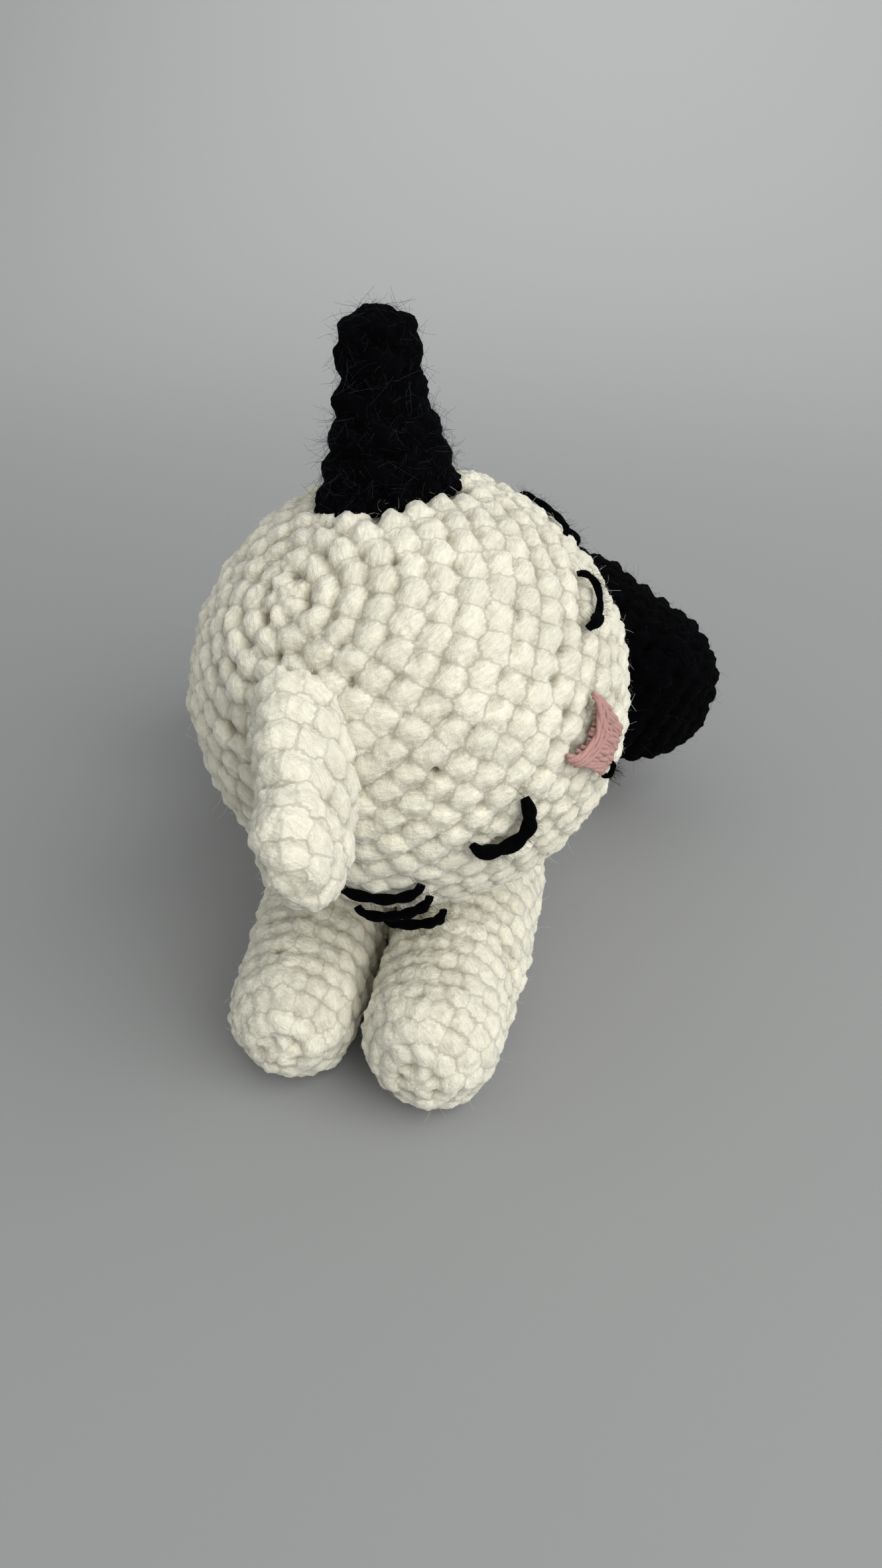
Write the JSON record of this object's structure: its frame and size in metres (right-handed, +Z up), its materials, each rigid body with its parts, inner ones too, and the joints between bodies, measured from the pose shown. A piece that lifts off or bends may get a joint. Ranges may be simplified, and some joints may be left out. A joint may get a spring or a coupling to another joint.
{
  "type": "crocheted cat",
  "caption": "Soft crocheted cat asleep on its belly, head turned on its front paws, one ear, one hind leg and the tail black, the rest cream",
  "frame": {"origin": "middle of the flat under the belly, on the table", "axes": "+Z up, -Y the way the cat's body points, +X the cat's left"},
  "size_m": [0.1076, 0.1716, 0.1069],
  "materials": {
    "cream_yarn": "matt soft yarn, single crochet",
    "black_yarn": "matt fuzzy yarn, single crochet",
    "pink_yarn": "satin stitch in dusty pink yarn",
    "filling": "loose polyester stuffing"
  },
  "bodies": {
    "body": {"body_cover": "cream_yarn", "body_stuffing": "filling", "neck_seam": "cream_yarn", "front_leg_left_seam": "cream_yarn", "front_leg_right_seam": "cream_yarn", "hind_leg_left_seam": "black_yarn", "hind_leg_right_seam": "cream_yarn", "tail_seam": "black_yarn"},
    "head": {"head_cover": "cream_yarn", "head_stuffing": "filling", "ear_left_seam": "black_yarn", "ear_right_seam": "cream_yarn", "eye_left": "black_yarn", "eye_right": "black_yarn", "whisker_left_1": "black_yarn", "whisker_left_2": "black_yarn", "whisker_left_3": "black_yarn", "whisker_right_1": "black_yarn", "whisker_right_2": "black_yarn", "whisker_right_3": "black_yarn", "mouth": "black_yarn", "nose": "pink_yarn"},
    "front_leg_left": {"front_leg_left_cover": "cream_yarn", "front_leg_left_stuffing": "filling"},
    "front_leg_right": {"front_leg_right_cover": "cream_yarn", "front_leg_right_stuffing": "filling"},
    "hind_leg_left": {"hind_leg_left_cover": "black_yarn", "hind_leg_left_stuffing": "filling"},
    "hind_leg_right": {"hind_leg_right_cover": "cream_yarn", "hind_leg_right_stuffing": "filling"},
    "tail": {"tail_cover": "black_yarn", "tail_stuffing": "filling"},
    "ear_left": {"ear_left": "black_yarn"},
    "ear_right": {"ear_right": "cream_yarn"}
  },
  "joints": [
    {"name": "head_nod", "type": "hinge", "parent": "body", "child": "head", "pos_m": [0.00094, -0.01498, 0.05719], "axis": [-1, 0, 0], "range_deg": [0, 12], "deforming": ["neck_seam"]},
    {"name": "front_leg_left_splay", "type": "hinge", "parent": "body", "child": "front_leg_left", "pos_m": [0.02335, -0.0139, 0.01363], "axis": [0, 0, 1], "range_deg": [0, 12], "stiffness_Nm_per_rad": 0.02, "deforming": ["front_leg_left_seam"]},
    {"name": "front_leg_right_splay", "type": "hinge", "parent": "body", "child": "front_leg_right", "pos_m": [-0.02336, -0.01384, 0.0136], "axis": [0, 0, -1], "range_deg": [0, 12], "stiffness_Nm_per_rad": 0.02, "deforming": ["front_leg_right_seam"]},
    {"name": "hind_leg_left_swing", "type": "hinge", "parent": "body", "child": "hind_leg_left", "pos_m": [0.02092, 0.03693, 0.03542], "axis": [0, 0, 1], "range_deg": [0, 15], "stiffness_Nm_per_rad": 0.02, "deforming": ["hind_leg_left_seam"]},
    {"name": "hind_leg_right_swing", "type": "hinge", "parent": "body", "child": "hind_leg_right", "pos_m": [-0.02092, 0.03693, 0.03542], "axis": [0, 0, -1], "range_deg": [0, 15], "stiffness_Nm_per_rad": 0.02, "deforming": ["hind_leg_right_seam"]},
    {"name": "tail_lift", "type": "hinge", "parent": "body", "child": "tail", "pos_m": [-0.00175, 0.0479, 0.01844], "axis": [1, 0, 0], "range_deg": [0, 25], "deforming": ["tail_seam"]},
    {"name": "ear_left_fold", "type": "hinge", "parent": "head", "child": "ear_left", "pos_m": [0.00476, -0.04511, 0.08697], "axis": [-0.8757, 0.4815, -0.0363], "range_deg": [0, 20], "stiffness_Nm_per_rad": 0.005, "deforming": ["ear_left_seam"]},
    {"name": "ear_right_lift", "type": "hinge", "parent": "head", "child": "ear_right", "pos_m": [-0.00833, -0.07689, 0.07173], "axis": [-0.9603, -0.0195, -0.2783], "range_deg": [0, 20], "deforming": ["ear_right_seam"]}
  ]
}
